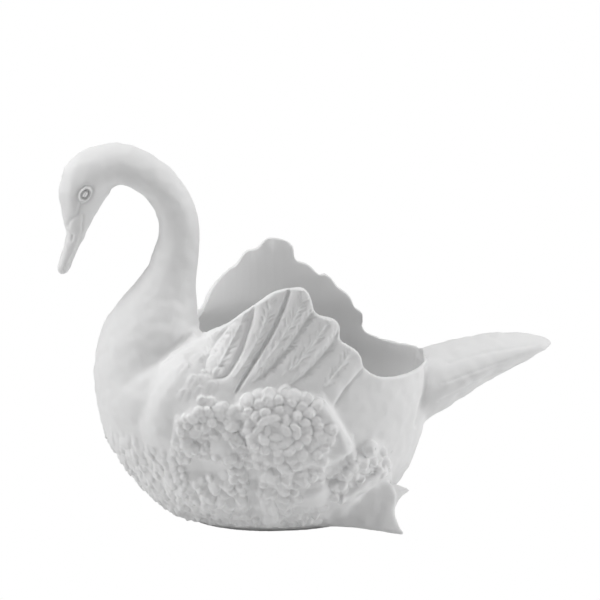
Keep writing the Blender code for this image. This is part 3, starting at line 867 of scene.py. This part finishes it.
class Carving:
    def __init__(self, mesh, skin):
        self.places, self.normals = meshArrays(mesh)
        count = len(self.places)
        self.flat = self.places[:, (0, 2)]
        self.soft = np.zeros(count)  # soft forms, added together
        self.feathers = np.zeros(count)  # feathers, the highest one shows
        self.cuts = np.zeros(count)  # cuts, the deepest one shows
        self.skin = skin
        self.tree = KDTree(count)
        for index, place in enumerate(self.places):
            self.tree.insert(place, index)
        self.tree.balance()
        outward = self.normals[:, 1] * np.sign(self.places[:, 1])
        self.flank = fade(outward, 0.1, 0.45) * (np.abs(self.places[:, 1]) > 0.004)

    def sideOn(self, x, z, side):
        place, outward, _, _ = self.skin.ray_cast(Vector((x, side * 0.2, z)), Vector((0, -side, 0)))
        return place, outward

    def around(self, place, outward, direction, reach, facing=0.2):
        found = np.array([index for _, index, _ in self.tree.find_range(place, reach)], int)
        if not len(found):
            return found, None, None
        found = found[self.normals[found] @ np.array(outward) > facing]
        across = outward.cross(direction).normalized()
        along = across.cross(outward).normalized()
        offset = self.places[found] - np.array(place)
        return found, offset @ np.array(along), offset @ np.array(across)

    def knob(self, x, z, radius, height):
        for side in (-1, 1):
            place, outward = self.sideOn(x, z, side)
            found, along, across = self.around(place, outward, Vector((0, 0, 1)), 1.3 * radius)
            away = np.hypot(along, across) / radius
            dome = np.sqrt(np.clip(1 - away**2, 0, 1))
            self.feathers[found] = np.maximum(self.feathers[found], height * dome)

    def feather(self, place, outward, direction, length, width, height, shaft=0.0):
        # a shingle that rises from its root to its round tip
        found, along, across = self.around(place, outward, direction, 0.75 * length)
        if along is None:
            return
        t = along / (length / 2)
        c = across / (width / 2)
        tipStart = 1 - width / length
        q = np.maximum(t - tipStart, 0) * length / width
        rho = np.hypot(c, q)
        body = (0.2 + 0.8 * np.clip((t + 1) / 2, 0, 1)) * (1 - 0.5 * c**2)
        body = body * (1 - fade(rho, 0.72, 1.08)) * fade(t, -1.15, -0.5)
        body = height * body - shaft * np.exp(-((c / 0.16) ** 2)) * (rho < 0.8)
        self.feathers[found] = np.maximum(self.feathers[found], body)

    def covert(self, place, outward, direction, halfLength, halfWidth, lift):
        # a plump feather, higher at its tip
        found, along, across = self.around(place, outward, direction, 1.5 * max(halfLength, halfWidth))
        if along is None:
            return
        dome = np.sqrt(np.clip(1 - (along / halfLength) ** 2 - (across / halfWidth) ** 2, 0, 1))
        body = lift * dome * (coverts["body"] + coverts["tipRise"] * np.clip(along / halfLength, -1, 1))
        self.feathers[found] = np.maximum(self.feathers[found], body)

    def featherEdge(self, points, depth, roughness, chance):
        # the cut along the edge of a flight feather, with strokes across it where it is rough
        away, _, along = lineDistance(self.flat, points, 0.006)
        groove = depth * np.exp(-((away / vanes["cutWidth"]) ** 2)) * fade(along, 0.0, 0.08)
        self.cuts = np.maximum(self.cuts, groove * self.flank)
        if roughness == 0:
            return
        edge = smoothTable(points, 200)
        run = np.concatenate(([0.0], np.cumsum(np.hypot(*np.diff(edge, axis=0).T))))
        at = 0.08 * run[-1]
        while at < 0.94 * run[-1]:
            index = int(np.searchsorted(run, at))
            direction = edge[index + 1] - edge[index]
            direction /= np.hypot(*direction)
            for side in (-1, 1):
                turn = side * math.radians(chance.uniform(*vanes["notchTurn"]))
                slant = slanted(direction, turn)
                start = edge[index] + slant * vanes["notchFrom"]
                end = start + slant * vanes["notchLength"] * chance.uniform(0.6, 1.2)
                notch = roughness * vanes["notchDepth"] * chance.uniform(0.4, 1.1)
                self.line([tuple(start), tuple(end)], vanes["notchWidth"], notch)
            at += vanes["notchPitch"] * chance.uniform(0.7, 1.3)

    def barbs(self, front, rear, chance):
        # the shaft of a flight feather, and short barbs that slant off it
        count = 60
        edges = smoothTable(front, count), smoothTable(rear, count)
        shaft = (edges[0] + edges[1]) / 2
        self.line([tuple(row) for row in shaft[12:54:6]], vanes["shaftWidth"], -vanes["shaftHeight"])
        run = np.concatenate(([0.0], np.cumsum(np.hypot(*np.diff(shaft, axis=0).T))))
        at = run[12]
        while at < run[-6]:
            at += vanes["barbPitch"] * chance.uniform(0.7, 1.3)
            index = min(int(np.searchsorted(run, at)), count - 2)
            direction = (shaft[index + 1] - shaft[index]) / np.hypot(*(shaft[index + 1] - shaft[index]))
            for side, edge in zip((-1, 1), (edges[1], edges[0])):
                wide = np.hypot(*(edge[index] - shaft[index]))
                turn = side * math.radians(chance.uniform(*vanes["barbTurn"]))
                slant = slanted(direction, turn)
                length = min(vanes["barbLength"], 1.3 * wide) * chance.uniform(0.6, 1.2)
                start = shaft[index] + slant * 0.2 * length
                end = start + slant * length
                depth = vanes["barbDepth"] * chance.uniform(0.4, 1.2)
                self.line([tuple(start), tuple(end)], vanes["barbWidth"], depth)

    def line(self, points, halfWidth, depth):
        away = lineDistance(self.flat, points, 3 * halfWidth)[0]
        shape = abs(depth) * np.exp(-((away / halfWidth) ** 2)) * self.flank
        if depth < 0:
            self.soft += shape
        else:
            self.cuts = np.maximum(self.cuts, shape)

    def roughen(self):
        # the model for the mould was shaped by hand, so no covert is an even dome
        feathered = np.flatnonzero(self.feathers > 0)
        mirrored = np.abs(self.places[feathered]) * (0, 1, 0) + self.places[feathered] * (1, 0, 1)
        self.feathers[feathered] *= 1 + relief["pressed"] * unevenness(mirrored, 0.0024)

    def dimple(self):
        # the soft dents of hand modelling on all that has no feathers
        outside = np.flatnonzero((self.flank > 0) | (self.flat[:, 0] < -0.075) | (self.flat[:, 0] > 0.070))
        mirrored = np.abs(self.places[outside]) * (0, 1, 0) + self.places[outside] * (1, 0, 1)
        self.soft[outside] += relief["dimples"] * unevenness(mirrored, 0.0060)

    def carve(self, mesh):
        raised = self.soft + self.feathers - self.cuts
        raised *= fade(self.places[:, 2], relief["plainFoot"], relief["carvedFrom"])
        mesh.vertices.foreach_set("co", (self.places + self.normals * raised[:, None]).ravel())
        mesh.update()


def halfOval(height):
    # points of one half of the hull's waterline at a height, with the lengths along it
    rows = allWaterlines(160)
    row = [np.interp(height, rows[:, 0], rows[:, column]) for column in range(1, 6)]
    ring = np.array([(x, y) for x, y, _ in oval(height, *row, count=400) if y <= 1e-9])
    ring = ring[np.argsort(ring[:, 0])]
    steps = np.hypot(*np.diff(ring, axis=0).T)
    return ring, np.concatenate(([0.0], np.cumsum(steps)))


def layCovert(carving, x, z, direction, chance, halfLength, halfWidth, lift=1.0):
    # one covert on each flank, the same on both
    size = chance.uniform(*coverts["sizes"])
    turn = chance.gauss(0, coverts["turns"])
    lift *= chance.uniform(*coverts["lifts"])
    for spotX, spotZ, radius in smoothSpots:
        if math.hypot(x - spotX, z - spotZ) < radius:
            return
    turnedX, turnedZ = slanted((direction.x, direction.z), turn)
    turned = Vector((turnedX, 0, turnedZ))
    height = coverts["height"] * lift
    for side in (-1, 1):
        place, outward = carving.sideOn(x, z, side)
        if place is not None:
            carving.covert(place, outward, turned, halfLength * size, halfWidth * size, height)


def covertFeathers(carving):
    chance = random.Random(coverts["seed"])
    edgeX, edgeZ = zip(*covertEdge)
    jitter, ringJitter = coverts["jitter"], coverts["ringJitter"]
    # rings of feathers on the tufts
    for centreX, centreZ, stretch, circles in rings:
        for row, (radius, halfLength, halfWidth) in enumerate(circles):
            around = math.tau * radius * (1 + stretch) / 2
            count = max(1, round(around / (coverts["ringSpacing"] * halfWidth)))
            for step in range(count):
                angle = math.tau * (step + 0.5 * (row % 2) + chance.uniform(-0.15, 0.15)) / count
                x = centreX + radius * stretch * math.cos(angle) + chance.uniform(-1, 1) * ringJitter
                z = centreZ + radius * math.sin(angle) + chance.uniform(-1, 1) * ringJitter
                if z > np.interp(x, edgeX, edgeZ) - 0.001:
                    continue
                if stretch > 1 and not insideOutline(np.array([[x, z]]), tuft["outline"])[0]:
                    continue
                outwards = Vector((math.cos(angle), 0, math.sin(angle)))
                layCovert(carving, x, z, outwards, chance, halfLength, halfWidth)
    # and rows of them everywhere else
    downwards = Vector((0.3, 0, -0.95)).normalized()
    height, row = coverts["lowest"], 0
    while height < max(edgeZ):
        ring, lengths = halfOval(height)
        at = coverts["spacing"] * (0.25 + 0.5 * (row % 2))
        while at < lengths[-1]:
            spot = at + chance.uniform(-1, 1) * jitter
            x = np.interp(spot, lengths, ring[:, 0])
            z = height + chance.uniform(-1, 1) * jitter
            breast = 1 - float(fade(x, -0.100, -0.075))
            at += coverts["spacing"] * (1 - 0.2 * breast)
            top = np.interp(x, edgeX, edgeZ, right=0.0)
            onTuft = insideOutline(np.array([[x, z]]), tuft["outline"])[0]
            ringed = any(
                stretch == 1.0 and math.hypot(x - centreX, z - centreZ) < circles[-1][0] + 0.0022
                for centreX, centreZ, stretch, circles in rings
            )
            aboveFoot = z > coverts["footTop"] + 0.35 * x
            if z > top or onTuft or ringed or x > 0.006 and not aboveFoot:
                continue
            lift = (0.5 + 0.5 * min(1.0, (top - z) / 0.008)) * (1 - 0.3 * breast)
            lift *= 0.7 + 0.3 * float(fade(z, 0.004, 0.012))
            halfLength = coverts["halfLength"] * (1 + 0.30 * breast)
            halfWidth = coverts["halfWidth"] * (1 - 0.30 * breast)
            layCovert(carving, x, z, downwards, chance, halfLength, halfWidth, lift)
        height += coverts["rowSpacing"]
        row += 1


scapulars = {"length": 0.0095, "width": 0.0074, "height": 0.0011, "shaft": 0.0003, "seed": 3}


def scapularFeathers(carving):
    # short feathers between the shoulder and the flight feathers
    chance = random.Random(scapulars["seed"])
    for row in range(3):
        for step in range(3):
            x = -0.076 + 0.0080 * step + 0.004 * (row % 2) + chance.uniform(-1, 1) * 0.001
            z = 0.094 + 0.0080 * row + 0.0025 * step + chance.uniform(-1, 1) * 0.001
            direction = Vector((0.40 + 0.05 * step, 0, 0.85))
            for side in (-1, 1):
                place, outward = carving.sideOn(x, z, side)
                if place is not None:
                    carving.feather(
                        place, outward, direction, scapulars["length"], scapulars["width"],
                        scapulars["height"] * chance.uniform(0.7, 1.1), scapulars["shaft"],
                    )


def headDetails(carving):
    # the lore, the mouth, the nostrils and the almond eyes with their raised rims
    head = (carving.flat[:, 0] < -0.120) & (np.abs(carving.normals[:, 1]) > 0.1)
    for points, halfWidth, depth in headLines:
        away = lineDistance(carving.flat, points, 0.010)[0]
        carving.soft[head] -= (depth * np.exp(-((away / halfWidth) ** 2)))[head]
    tilt = math.radians(eye["tilt"])
    direction = Vector((math.cos(tilt), 0, math.sin(tilt)))
    for side in (-1, 1):
        place, outward = carving.sideOn(eye["x"], eye["z"], side)
        found, along, across = carving.around(place, outward, direction, 0.010)
        away = np.hypot(along / eye["halfLength"], across / eye["halfWidth"])
        ball = eye["ball"] * np.sqrt(np.clip(1 - (away / 0.60) ** 2, 0, 1))
        rim = eye["rim"] * np.exp(-(((away - 1.02) / 0.18) ** 2))
        socket = -eye["groove"] * np.exp(-(((away - 0.66) / 0.16) ** 2))
        socket -= eye["socket"] * np.exp(-(((away - 1.45) / 0.25) ** 2))
        carving.soft[found] += ball + rim + socket


def carveFeathers(form):
    carving = Carving(form.data, skin)
    carving.line(shoulder["edge"], shoulder["creaseWidth"], shoulder["creaseDepth"])
    chance = random.Random(vanes["seed"])
    for points, depth, roughness in vaneEdges:
        carving.featherEdge(points, depth, roughness, chance)
    for (front, _, _), (rear, _, _) in zip(vaneEdges, vaneEdges[1:]):
        carving.barbs(front, rear, chance)
    scapularFeathers(carving)
    covertFeathers(carving)
    for x, z, angle, length, width, height in strays:
        direction = Vector((math.cos(math.radians(angle)), 0, math.sin(math.radians(angle))))
        for side in (-1, 1):
            place, outward = carving.sideOn(x, z, side)
            carving.feather(place, outward, direction, length, width, height, 0.0004)
    for row in knobs:
        carving.knob(*row)
    for points, halfWidth, depth in flankLines:
        carving.line(points, halfWidth, depth)
    headDetails(carving)
    carving.roughen()
    carving.dimple()
    carving.carve(form.data)


print("feathers")
carveFeathers(form)


def fitToSolid(form):
    # the whole form is set to the length and height of the solid, and stands where it stands
    places, _ = meshArrays(form.data)
    low, high = places.min(axis=0), places.max(axis=0)
    solidLow, solidHigh = np.array(cadBox[0]), np.array(cadBox[1])
    stretch = (solidHigh - solidLow) / (high - low)
    stretch[1] = 1.0
    middle = (solidLow + solidHigh) / 2 * (1, 1, 0) + (0, 0, solidLow[2])
    places = (places - (low + high) / 2 * (1, 1, 0) - (0, 0, low[2])) * stretch + middle
    places[:, 2] = np.where(places[:, 2] < swan["fineVoxel"] / 2, 0.0, places[:, 2])
    form.data.vertices.foreach_set("co", places.ravel())
    form.data.update()


fitToSolid(form)


def toLinear(code):
    # an sRGB hex colour as linear values
    channels = [int(code[i : i + 2], 16) / 255 for i in (1, 3, 5)]
    return tuple(c / 12.92 if c <= 0.04045 else ((c + 0.055) / 1.055) ** 2.4 for c in channels) + (1.0,)


def addNode(tree, kind, settings=None, links=None):
    node = tree.nodes.new(kind)
    for name, value in (settings or {}).items():
        if name in node.inputs:
            node.inputs[name].default_value = value
        else:
            setattr(node, name, value)
    for name, source in (links or {}).items():
        tree.links.new(source, node.inputs[name])
    return node


bisque = {
    "colour": "#e3e3e3",
    "paleColour": "#ebebeb",
    "smooth": 0.56,  # roughness where hands have rubbed it, and elsewhere
    "rough": 0.68,
    "mottlesPerMetre": 35.0,
    "grainsPerMetre": 1400.0,
    "grainHeight": 0.0003,
}


def bisquePorcelain():
    # Unglazed porcelain, cast in a plaster mould: chalky and matt, with a very fine even grain.
    material = bpy.data.materials.new("bisquePorcelain")
    material.use_nodes = True
    tree = material.node_tree
    tree.nodes.clear()
    place = addNode(tree, "ShaderNodeTexCoord").outputs["Object"]
    mottle = addNode(
        tree, "ShaderNodeTexNoise", {"Scale": bisque["mottlesPerMetre"], "Detail": 4.0}, {"Vector": place}
    )
    tint = addNode(tree, "ShaderNodeMix", {"data_type": "RGBA"})
    tint.inputs[6].default_value = toLinear(bisque["colour"])
    tint.inputs[7].default_value = toLinear(bisque["paleColour"])
    tree.links.new(mottle.outputs["Fac"], tint.inputs[0])
    rubbed = addNode(
        tree, "ShaderNodeMapRange",
        {"To Min": bisque["smooth"], "To Max": bisque["rough"]}, {"Value": mottle.outputs["Fac"]},
    )
    grain = addNode(
        tree, "ShaderNodeTexNoise", {"Scale": bisque["grainsPerMetre"], "Detail": 3.0}, {"Vector": place}
    )
    bump = addNode(
        tree, "ShaderNodeBump",
        {"Strength": 0.10, "Distance": bisque["grainHeight"]}, {"Height": grain.outputs["Fac"]},
    )
    shader = addNode(
        tree, "ShaderNodeBsdfPrincipled",
        {"IOR": 1.5, "Specular IOR Level": 0.35},
        {
            "Base Color": tint.outputs[2],
            "Roughness": rubbed.outputs["Result"],
            "Normal": bump.outputs["Normal"],
        },
    )
    addNode(tree, "ShaderNodeOutputMaterial", {}, {"Surface": shader.outputs["BSDF"]})
    return material


def finishSwan(form):
    figurine = asMesh(form, bpy.context.scene.collection)
    figurine.name = figurine.data.name = "bisqueSwan"
    fewer = figurine.modifiers.new("fewer faces", "DECIMATE")
    fewer.ratio = min(1.0, swan["mostTriangles"] / (2 * len(figurine.data.polygons)))
    figurine = asMesh(figurine, bpy.context.scene.collection)
    figurine.data.materials.append(bisquePorcelain())
    figurine.data.shade_smooth()
    return figurine


print("finish")
figurine = finishSwan(form)
for helper in list(shapes.objects):
    bpy.data.objects.remove(helper)
bpy.data.collections.remove(shapes)
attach(figurine, "root")
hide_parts("swan_figurine")
print("triangles", len(figurine.data.polygons))

studio = {
    "distance": 1.4,
    "azimuth": -5.0,
    "elevation": 15.0,
    "target": (-0.0045, 0.0, 0.1349),
    "frameWidth": 0.3636,  # metres across the picture at the swan
    "sensor": 36.0,
    "dim": 0.15,  # light of the surroundings on the swan
    "softboxSize": 0.8,
    "softboxes": (
        ("leftSoftbox", (-1.55, -0.15, 0.85), 12.4),
        ("rightSoftbox", (1.45, -0.30, 0.62), 11.8),
        ("topSoftbox", (-0.20, -0.10, 1.60), 11.4),
    ),
    "aim": (0.0, 0.0, 0.10),
}


def studioCamera():
    camera = bpy.data.objects.new("camera", bpy.data.cameras.new("camera"))
    bpy.context.scene.collection.objects.link(camera)
    azimuth, elevation = math.radians(studio["azimuth"]), math.radians(studio["elevation"])
    back = Vector((
        math.sin(azimuth) * math.cos(elevation),
        -math.cos(azimuth) * math.cos(elevation),
        math.sin(elevation),
    ))
    camera.location = Vector(studio["target"]) + back * studio["distance"]
    camera.rotation_euler = (-back).to_track_quat("-Z", "Y").to_euler()
    camera.data.sensor_width = studio["sensor"]
    camera.data.lens = studio["sensor"] * studio["distance"] / studio["frameWidth"]
    bpy.context.scene.camera = camera


def softLight(name, place, power):
    lamp = bpy.data.lights.new(name, "AREA")
    lamp.shape = "SQUARE"
    lamp.size = studio["softboxSize"]
    lamp.energy = power
    light = bpy.data.objects.new(name, lamp)
    bpy.context.scene.collection.objects.link(light)
    light.location = place
    light.rotation_euler = (Vector(studio["aim"]) - Vector(place)).to_track_quat("-Z", "Y").to_euler()


def studioWorld():
    world = bpy.data.worlds.new("studio")
    bpy.context.scene.world = world
    world.use_nodes = True
    tree = world.node_tree
    tree.nodes.clear()
    rays = addNode(tree, "ShaderNodeLightPath")
    dim = addNode(tree, "ShaderNodeBackground", {"Color": (1, 1, 1, 1), "Strength": studio["dim"]})
    white = addNode(tree, "ShaderNodeBackground", {"Color": (1, 1, 1, 1), "Strength": 1.0})
    seen = addNode(tree, "ShaderNodeMath", {"operation": "MAXIMUM"})
    tree.links.new(rays.outputs["Is Camera Ray"], seen.inputs[0])
    tree.links.new(rays.outputs["Is Glossy Ray"], seen.inputs[1])
    mix = addNode(tree, "ShaderNodeMixShader")
    tree.links.new(seen.outputs[0], mix.inputs[0])
    tree.links.new(dim.outputs[0], mix.inputs[1])
    tree.links.new(white.outputs[0], mix.inputs[2])
    addNode(tree, "ShaderNodeOutputWorld", {}, {"Surface": mix.outputs[0]})


def studioFloor():
    bpy.ops.mesh.primitive_plane_add(size=6.0, location=(0, 0, -0.0002))
    floor = bpy.context.object
    floor.name = "floor"
    material = bpy.data.materials.new("whitePaper")
    material.use_nodes = True
    tree = material.node_tree
    tree.nodes.clear()
    paper = addNode(tree, "ShaderNodeBsdfDiffuse", {"Color": toLinear("#f4f4f4")})
    glow = addNode(tree, "ShaderNodeEmission", {"Color": (1, 1, 1, 1), "Strength": 1.0})
    rays = addNode(tree, "ShaderNodeLightPath")
    mix = addNode(tree, "ShaderNodeMixShader")
    tree.links.new(rays.outputs["Is Camera Ray"], mix.inputs[0])
    tree.links.new(paper.outputs[0], mix.inputs[1])
    tree.links.new(glow.outputs[0], mix.inputs[2])
    addNode(tree, "ShaderNodeOutputMaterial", {}, {"Surface": mix.outputs[0]})
    floor.data.materials.append(material)


print("studio")
studioCamera()
studioWorld()
studioFloor()
for name, place, power in studio["softboxes"]:
    softLight(name, place, power)
bpy.context.scene.view_settings.view_transform = "Standard"
